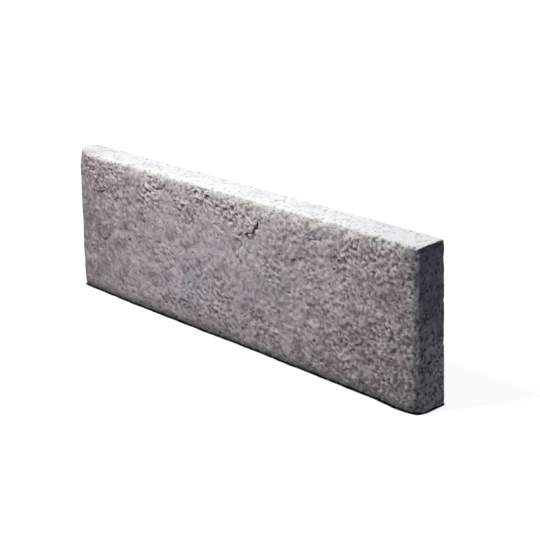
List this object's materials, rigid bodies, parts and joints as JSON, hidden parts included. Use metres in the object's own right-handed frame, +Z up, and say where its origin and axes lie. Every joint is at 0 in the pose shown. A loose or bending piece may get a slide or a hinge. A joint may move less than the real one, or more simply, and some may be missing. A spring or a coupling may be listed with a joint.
{
  "type": "manufactured stone lintel",
  "caption": "Long thin cast-stone lintel block with a rock-faced front, worn top and side arrises, and flat back, bed, top and ends.",
  "frame": {"origin": "centre of the soffit, the underside that the lintel stands on", "axes": "+X along the length to the viewer's right, +Y into the wall towards the flat back, +Z up; the rock face looks along -Y"},
  "size_m": [0.61, 0.0449, 0.187],
  "materials": {
    "cast_stone": "matte"
  },
  "bodies": {
    "root": {"lintel": "cast_stone"}
  },
  "joints": []
}
